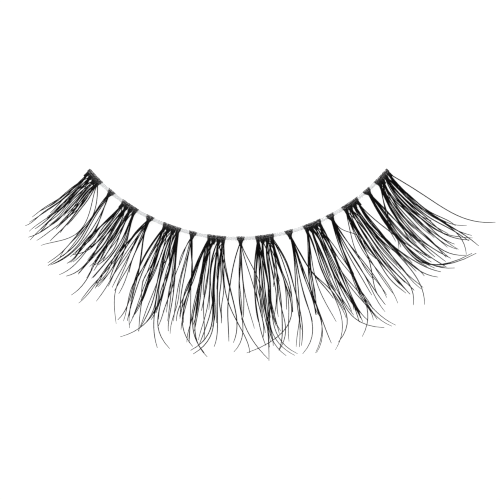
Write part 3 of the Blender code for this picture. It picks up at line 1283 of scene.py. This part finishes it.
CLUSTERS = (
    Cluster("wide_cluster_1", 4, (
        Lock(1, (-48.4, -48.6, -48.8, -49.5), 7.9, 3),
        Lock(1, (-47.9, -48.1, -48.2, -48.5), 7.4, 3),
        Lock(2, (-47.3, -47.0, -46.9, -47.0), 8.5, 3),
        Lock(2, (-46.8, -46.7, -46.6, -46.8), 7.4, 4),
        Lock(3, (-46.1, -45.8, -46.0, -46.3), 7.2, 3),
        Lock(3, (-45.5, -44.9, -45.0, -46.6), 8.4, 3),
        Lock(4, (-44.9, -44.4, -43.9, -43.6), 6.0, 3),
        Lock(4, (-44.2, -43.7, -43.4, -43.0), 7.2, 4),
        Lock(4, (-43.8, -43.2, -43.0, -42.8), 5.0, 1),
        Lock(4, (-41.7, -39.9, -41.1, -43.9), 8.1, 1),
        Lock(4, (-40.5, -39.3, -39.7, -39.6), 7.8, 1),
    )),
    Cluster("narrow_cluster_1", 1, (
        Lock(1, (-39.9, -39.4, -39.7, -40.4), 8.9, 2),
        Lock(1, (-39.5, -38.8, -38.6, -39.6), 9.1, 3),
        Lock(1, (-38.4, -37.8, -38.0, -39.6), 8.8, 1),
        Lock(1, (-38.3, -37.2, -37.0, -37.6), 7.5, 2),
    )),
    Cluster("wide_cluster_2", 4, (
        Lock(1, (-36.2, -37.0, -37.2, -37.5), 7.8, 2),
        Lock(1, (-35.8, -36.3, -36.6, -36.7), 6.6, 3),
        Lock(1, (-35.3, -35.5, -36.1, -37.8), 9.1, 2),
        Lock(2, (-34.6, -34.8, -35.3, -37.2), 6.8, 2),
        Lock(2, (-34.0, -34.3, -34.4, -34.6), 6.4, 2),
        Lock(2, (-33.7, -33.5, -33.6, -34.4), 8.0, 3),
        Lock(2, (-34.2, -34.2, -34.2, -36.1), 8.8, 1),
        Lock(3, (-32.7, -32.5, -32.5, -32.3), 7.2, 4),
        Lock(3, (-31.9, -31.5, -31.5, -32.1), 6.4, 3),
        Lock(3, (-32.6, -32.9, -32.6, -32.8), 10.0, 2),
        Lock(4, (-30.6, -30.2, -30.3, -31.0), 7.9, 3),
        Lock(4, (-29.9, -29.4, -29.9, -30.3), 8.3, 3),
        Lock(4, (-29.8, -28.6, -28.1, -28.0), 7.5, 1),
    )),
    Cluster("narrow_cluster_2", 1, (
        Lock(1, (-28.6, -29.8, -30.6, -31.8), 10.3, 2),
        Lock(1, (-28.3, -28.8, -28.9, -29.6), 8.0, 2),
        Lock(1, (-27.3, -27.8, -28.0, -27.9), 9.3, 2),
        Lock(1, (-26.2, -26.0, -25.7, -25.9), 7.6, 2),
        Lock(1, (-26.1, -25.9, -25.4, -25.1), 7.7, 1),
        Lock(1, (-27.1, -26.8, -26.0, -24.0), 10.4, 2),
        Lock(1, (-25.1, -23.2, -22.3, -21.1), 10.3, 2),
    )),
    Cluster("wide_cluster_3", 4, (
        Lock(1, (-23.3, -23.5, -23.1, -23.7), 10.0, 2),
        Lock(1, (-22.2, -22.9, -22.9, -22.1), 9.9, 3),
        Lock(1, (-21.4, -21.3, -21.5, -21.3), 7.2, 2),
        Lock(2, (-20.9, -20.7, -20.3, -20.4), 10.0, 3),
        Lock(2, (-20.8, -20.5, -20.1, -18.8), 10.3, 2),
        Lock(2, (-19.9, -19.9, -20.1, -20.8), 9.2, 2),
        Lock(3, (-19.2, -18.6, -18.3, -18.7), 10.3, 3),
        Lock(3, (-18.3, -18.0, -17.6, -17.9), 9.2, 2),
        Lock(4, (-18.0, -17.8, -17.7, -17.6), 4.4, 3),
        Lock(4, (-17.2, -16.9, -16.6, -16.5), 8.4, 3),
        Lock(4, (-16.7, -15.8, -15.5, -15.7), 7.8, 2),
        Lock(4, (-16.2, -15.1, -14.9, -15.5), 9.4, 2),
        Lock(4, (-16.1, -15.0, -14.3, -13.1), 9.5, 2),
        Lock(4, (-16.9, -16.7, -17.4, -21.5), 11.4, 1),
        Lock(4, (-17.0, -16.7, -16.4, -12.4), 11.1, 2),
        Lock(3, (-18.6, -18.0, -16.9, -14.6), 11.3, 1),
    )),
    Cluster("narrow_cluster_3", 1, (
        Lock(1, (-14.4, -14.9, -15.1, -15.1), 5.4, 2),
        Lock(1, (-13.4, -13.3, -12.9, -12.5), 9.7, 3),
        Lock(1, (-12.0, -10.9, -11.3, -12.0), 9.1, 2),
        Lock(1, (-11.8, -10.8, -9.9, -9.1), 10.2, 1),
    )),
    Cluster("wide_cluster_4", 4, (
        Lock(1, (-10.3, -11.4, -12.2, -12.4), 8.4, 3),
        Lock(1, (-9.9, -10.8, -11.3, -11.3), 8.4, 2),
        Lock(1, (-9.0, -9.0, -9.3, -9.0), 10.2, 3),
        Lock(2, (-8.4, -8.7, -8.5, -8.6), 9.0, 3),
        Lock(2, (-7.5, -7.5, -7.3, -6.9), 9.9, 2),
        Lock(3, (-6.9, -6.6, -6.3, -6.6), 9.8, 3),
        Lock(3, (-5.9, -5.6, -5.6, -6.3), 10.2, 3),
        Lock(3, (-5.6, -5.3, -5.2, -5.2), 4.8, 2),
        Lock(4, (-5.0, -4.9, -4.3, -5.1), 10.3, 2),
        Lock(4, (-4.3, -4.0, -3.7, -3.5), 8.0, 3),
        Lock(4, (-3.3, -1.5, -0.5, -1.1), 9.8, 2),
        Lock(4, (-3.6, -2.6, 0.0, 1.9), 10.8, 1),
        Lock(1, (-10.3, -11.3, -11.4, -8.5), 10.5, 1),
        Lock(2, (-8.6, -9.0, -8.8, -5.3), 11.3, 2),
        Lock(3, (-6.0, -5.7, -5.5, -8.9), 10.9, 1),
        Lock(3, (-5.8, -5.4, -5.1, -8.2), 11.2, 1),
    )),
    Cluster("narrow_cluster_4", 1, (
        Lock(1, (-1.3, -2.1, -2.2, -2.0), 9.7, 1),
        Lock(1, (0.3, 0.2, 0.7, 0.9), 7.6, 1),
        Lock(1, (0.4, 0.2, 1.8, 5.5), 11.5, 1),
        Lock(1, (0.4, 0.3, 0.9, -0.8), 10.7, 1),
        Lock(1, (0.8, 1.0, 1.2, 1.0), 7.4, 1),
        Lock(1, (0.9, 1.3, 2.1, 3.1), 8.5, 1),
        Lock(1, (2.1, 3.6, 4.6, 5.1), 9.0, 1),
        Lock(1, (3.0, 5.0, 5.6, 6.0), 8.2, 1),
    )),
    Cluster("wide_cluster_5", 4, (
        Lock(1, (4.1, 3.6, 4.1, 5.6), 10.2, 2),
        Lock(1, (4.7, 4.4, 5.0, 4.8), 9.5, 2),
        Lock(1, (5.5, 5.2, 5.3, 5.7), 10.3, 3),
        Lock(2, (6.2, 6.1, 6.2, 6.5), 10.4, 2),
        Lock(2, (6.8, 6.9, 6.7, 6.8), 9.4, 3),
        Lock(3, (7.7, 7.4, 7.2, 7.7), 9.0, 2),
        Lock(3, (8.3, 8.6, 8.5, 8.2), 7.3, 2),
        Lock(3, (9.0, 9.1, 9.0, 8.8), 7.6, 3),
        Lock(4, (9.5, 9.3, 9.3, 7.7), 10.8, 2),
        Lock(4, (10.1, 10.8, 10.3, 9.7), 10.1, 2),
        Lock(4, (10.3, 10.9, 11.4, 11.2), 7.4, 2),
        Lock(4, (11.2, 11.8, 11.8, 11.3), 7.4, 1),
        Lock(4, (12.3, 12.9, 12.4, 11.1), 10.7, 2),
        Lock(4, (10.4, 11.3, 10.6, 1.6), 10.8, 1),
        Lock(2, (6.7, 6.9, 6.4, 8.9), 11.4, 2),
        Lock(3, (7.5, 7.2, 6.8, 10.2), 11.5, 2),
        Lock(1, (5.7, 5.8, 5.7, 5.3), 11.7, 1),
    )),
    Cluster("narrow_cluster_5", 1, (
        Lock(1, (14.4, 13.4, 12.6, 12.2), 9.2, 1),
        Lock(1, (14.5, 13.5, 12.5, 11.1), 10.8, 1),
        Lock(1, (14.8, 14.5, 14.7, 11.4), 11.5, 1),
        Lock(1, (14.9, 14.5, 14.6, 14.7), 8.7, 1),
        Lock(1, (15.6, 16.0, 16.1, 15.9), 8.2, 1),
        Lock(1, (15.6, 16.0, 16.3, 13.9), 11.7, 2),
        Lock(1, (15.6, 16.3, 16.6, 17.0), 11.2, 1),
        Lock(1, (16.4, 18.0, 20.0, 21.2), 8.6, 2),
    )),
    Cluster("wide_cluster_6", 4, (
        Lock(1, (18.7, 17.1, 16.2, 16.0), 8.2, 2),
        Lock(1, (18.8, 17.5, 16.7, 16.6), 8.4, 2),
        Lock(1, (18.9, 18.0, 18.2, 19.1), 9.4, 1),
        Lock(1, (20.1, 20.1, 20.9, 21.2), 9.4, 2),
        Lock(2, (20.9, 20.8, 20.8, 20.9), 6.6, 2),
        Lock(2, (21.4, 21.6, 21.7, 22.1), 9.4, 2),
        Lock(3, (22.3, 22.2, 22.6, 22.7), 9.0, 3),
        Lock(3, (22.9, 23.0, 23.3, 23.5), 10.3, 3),
        Lock(4, (23.7, 23.9, 23.8, 24.0), 9.6, 2),
        Lock(4, (23.9, 24.1, 24.0, 24.9), 10.4, 1),
        Lock(4, (24.3, 24.8, 25.3, 25.7), 6.6, 2),
        Lock(4, (24.7, 25.6, 26.0, 26.0), 7.4, 1),
        Lock(4, (24.2, 24.1, 25.2, 25.1), 10.6, 2),
        Lock(2, (20.6, 20.7, 21.7, 18.3), 11.3, 1),
        Lock(1, (20.1, 20.3, 20.4, 17.3), 11.9, 1),
        Lock(3, (22.2, 22.0, 22.1, 27.0), 11.7, 1),
        Lock(1, (17.6, 16.3, 16.4, 14.0), 11.7, 1),
    )),
    Cluster("narrow_cluster_6", 1, (
        Lock(1, (26.6, 26.0, 25.8, 26.2), 9.8, 3),
        Lock(1, (26.8, 26.3, 26.2, 26.6), 10.7, 2),
        Lock(1, (26.7, 26.1, 26.2, 28.7), 12.0, 2),
        Lock(1, (27.4, 27.3, 27.4, 27.7), 8.4, 1),
        Lock(1, (27.8, 28.1, 28.2, 28.7), 10.4, 2),
        Lock(1, (28.4, 29.1, 29.7, 29.6), 9.3, 2),
        Lock(1, (26.8, 26.1, 26.0, 22.7), 11.6, 1),
        Lock(1, (28.2, 28.9, 30.3, 31.4), 2.9, 1),
    )),
    Cluster("wide_cluster_7", 4, (
        Lock(1, (31.2, 31.0, 31.6, 32.0), 10.3, 2),
        Lock(1, (31.9, 31.7, 31.6, 31.6), 5.6, 2),
        Lock(1, (32.2, 32.4, 32.9, 33.8), 9.9, 3),
        Lock(2, (33.1, 33.1, 33.3, 33.9), 10.2, 3),
        Lock(2, (33.7, 34.0, 34.4, 35.2), 10.0, 2),
        Lock(3, (34.7, 34.9, 35.1, 36.1), 10.4, 3),
        Lock(3, (35.2, 35.5, 35.8, 36.3), 10.4, 2),
        Lock(3, (35.3, 35.9, 36.6, 37.2), 8.8, 3),
        Lock(4, (36.0, 36.7, 37.5, 37.6), 9.6, 2),
        Lock(4, (36.4, 37.0, 38.2, 41.0), 10.3, 2),
        Lock(4, (36.3, 36.9, 37.6, 40.2), 10.5, 1),
        Lock(4, (36.2, 36.7, 37.0, 35.1), 11.8, 1),
        Lock(2, (34.0, 34.2, 34.9, 33.2), 11.2, 1),
        Lock(1, (30.6, 29.4, 29.0, 29.6), 7.2, 1),
        Lock(1, (31.5, 31.2, 29.9, 28.6), 8.6, 1),
        Lock(4, (37.3, 38.6, 40.0, 41.5), 8.7, 1),
    )),
    Cluster("narrow_cluster_7", 1, (
        Lock(1, (39.2, 38.8, 39.2, 40.4), 9.7, 3),
        Lock(1, (39.4, 39.1, 39.8, 43.6), 10.9, 2),
        Lock(1, (40.3, 39.9, 40.2, 41.6), 10.2, 3),
        Lock(1, (40.6, 40.4, 40.7, 41.1), 8.6, 1),
        Lock(1, (41.1, 41.1, 41.4, 42.3), 10.3, 2),
        Lock(1, (39.4, 38.9, 39.5, 47.5), 11.1, 1),
        Lock(1, (39.5, 39.2, 40.0, 48.2), 11.4, 1),
    )),
    Cluster("wide_cluster_8", 4, (
        Lock(1, (42.2, 40.2, 39.0, 37.6), 6.1, 2),
        Lock(1, (42.8, 41.9, 41.3, 41.3), 6.8, 2),
        Lock(1, (42.5, 41.6, 42.3, 43.5), 9.9, 3),
        Lock(1, (43.0, 42.4, 42.8, 43.9), 10.0, 3),
        Lock(2, (43.7, 43.1, 43.5, 44.0), 9.8, 3),
        Lock(2, (44.5, 44.8, 44.9, 45.8), 9.9, 3),
        Lock(2, (44.1, 43.8, 43.9, 46.6), 10.8, 1),
        Lock(3, (45.2, 45.1, 45.3, 46.0), 9.8, 3),
        Lock(3, (45.8, 45.8, 46.9, 49.6), 10.2, 3),
        Lock(3, (46.5, 46.5, 46.7, 47.0), 8.2, 3),
        Lock(4, (47.2, 47.4, 48.3, 49.6), 10.1, 3),
        Lock(4, (47.7, 47.8, 48.4, 49.0), 8.2, 3),
        Lock(4, (47.9, 48.2, 48.9, 49.2), 11.1, 1),
        Lock(4, (47.9, 48.0, 48.5, 51.1), 9.0, 1),
        Lock(4, (49.9, 50.7, 51.8, 54.7), 11.0, 1),
        Lock(4, (47.7, 47.9, 48.6, 46.7), 10.8, 1),
    )),
)


# The studio


@dataclass(frozen=True)
class Studio:
    """The white surface, the soft light and the camera.

    Attributes:
        floor_size: The side of the white surface.
        floor_drop: How far it lies below the strip, so that they don't share a plane.
        sky: How bright the even light from all round is.
        panel_power: How strong the panel light above is.
        panel_size: Its two sides.
        panel_place: Where it hangs.
        view_width: How much the picture shows from side to side.
        view_middle: The x and y that the camera looks straight down at.
        camera_height: How high the camera stands.
        sensor: The width of its sensor, in millimetres.
        nearest: How near to it things are seen.
        farthest: How far from it things are seen.
        gamma: The contrast of the picture.
        pixel_filter: How far a pixel gathers light, in pixels: as crisp as the photo is.
    """

    floor_size: float = 2.0
    floor_drop: float = 0.004 * MM
    sky: float = 0.45
    panel_power: float = 0.35
    panel_size: tuple[float, float] = (0.16, 0.10)
    panel_place: tuple[float, float, float] = (-0.10, 0.14, 0.16)
    view_width: float = 48.25 * MM
    view_middle: tuple[float, float] = (1.13 * MM, -1.11 * MM)
    camera_height: float = 420.0 * MM
    sensor: float = 36.0
    nearest: float = 0.005
    farthest: float = 20.0
    gamma: float = 0.7
    pixel_filter: float = 1.25

    def build(self) -> None:
        """Sets up the surface, the light and the camera."""
        self._add_floor()
        self._add_light()
        self._add_camera()

    def _add_floor(self) -> None:
        """A flat white surface that the strip lies on."""
        half = self.floor_size / 2.0
        corners = [(-half, -half), (half, -half), (half, half), (-half, half)]
        mesh = bpy.data.meshes.new("white_surface")
        mesh.from_pydata([(x, y, -self.floor_drop) for x, y in corners], [], [(0, 1, 2, 3)])
        floor = bpy.data.objects.new("white_surface", mesh)
        bpy.context.scene.collection.objects.link(floor)
        floor.data.materials.append(SurfaceFinish("matt_white").made())

    def _add_light(self) -> None:
        """An even pale sky, and a panel above and to one side."""
        world = bpy.data.worlds.new("pale_sky")
        world.use_nodes = True
        background = world.node_tree.nodes["Background"]
        background.inputs["Color"].default_value = WHITE
        background.inputs["Strength"].default_value = self.sky
        bpy.context.scene.world = world
        lamp = bpy.data.lights.new("panel", "AREA")
        lamp.shape = "RECTANGLE"
        lamp.size, lamp.size_y = self.panel_size
        lamp.energy = self.panel_power
        panel = bpy.data.objects.new("panel", lamp)
        panel.location = self.panel_place
        aim = -panel.location.normalized()
        panel.rotation_euler = aim.to_track_quat("-Z", "Y").to_euler()
        bpy.context.scene.collection.objects.link(panel)

    def _add_camera(self) -> None:
        """A long lens that looks straight down, with the lid's curve upwards."""
        view = bpy.data.cameras.new("camera")
        view.sensor_width = self.sensor
        view.lens = self.sensor * self.camera_height / self.view_width
        view.clip_start = self.nearest
        view.clip_end = self.farthest
        camera = bpy.data.objects.new("camera", view)
        camera.location = (*self.view_middle, self.camera_height)
        bpy.context.scene.collection.objects.link(camera)
        bpy.context.scene.camera = camera
        bpy.context.scene.view_settings.view_transform = "Standard"
        bpy.context.scene.view_settings.look = "None"
        bpy.context.scene.view_settings.gamma = self.gamma
        bpy.context.scene.cycles.filter_width = self.pixel_filter


def dress(piece: bpy.types.Object, material: bpy.types.Material, node: str) -> None:
    """Gives a piece its finish, joins it to the body, and hides the solid that it stands for.

    Args:
        piece: The new piece.
        material: Its finish.
        node: The solid that it stands for.
    """
    piece.data.materials.append(material)
    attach(piece, BODY)
    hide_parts(node)
    log.info("%s: %d faces", piece.name, len(piece.data.polygons))


def main() -> None:
    """Builds the band, then each cluster along it, then the studio."""
    logging.basicConfig(level=logging.INFO, format="%(message)s")
    lid = Lid.of_band(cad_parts["clear_band"])
    log.info("lid radius %.2f mm, band %.2f mm", lid.radius / MM, 2.0 * lid.filament / MM)
    dress(Band(lid).build(), BandFinish("clear_filament").made(), "clear_band")
    lash_black = LashFinish("lash_fibre").made()
    knot_black = KnotFinish("wound_fibre").made()
    total = 0
    for number, cluster in enumerate(CLUSTERS):
        knots, lashes, count = cluster.build(lid, number)
        dress(knots, knot_black, cluster.node)
        dress(lashes, lash_black, cluster.node)
        total += count
    log.info("%d lashes", total)
    Studio().build()


if __name__ == "__main__":
    main()
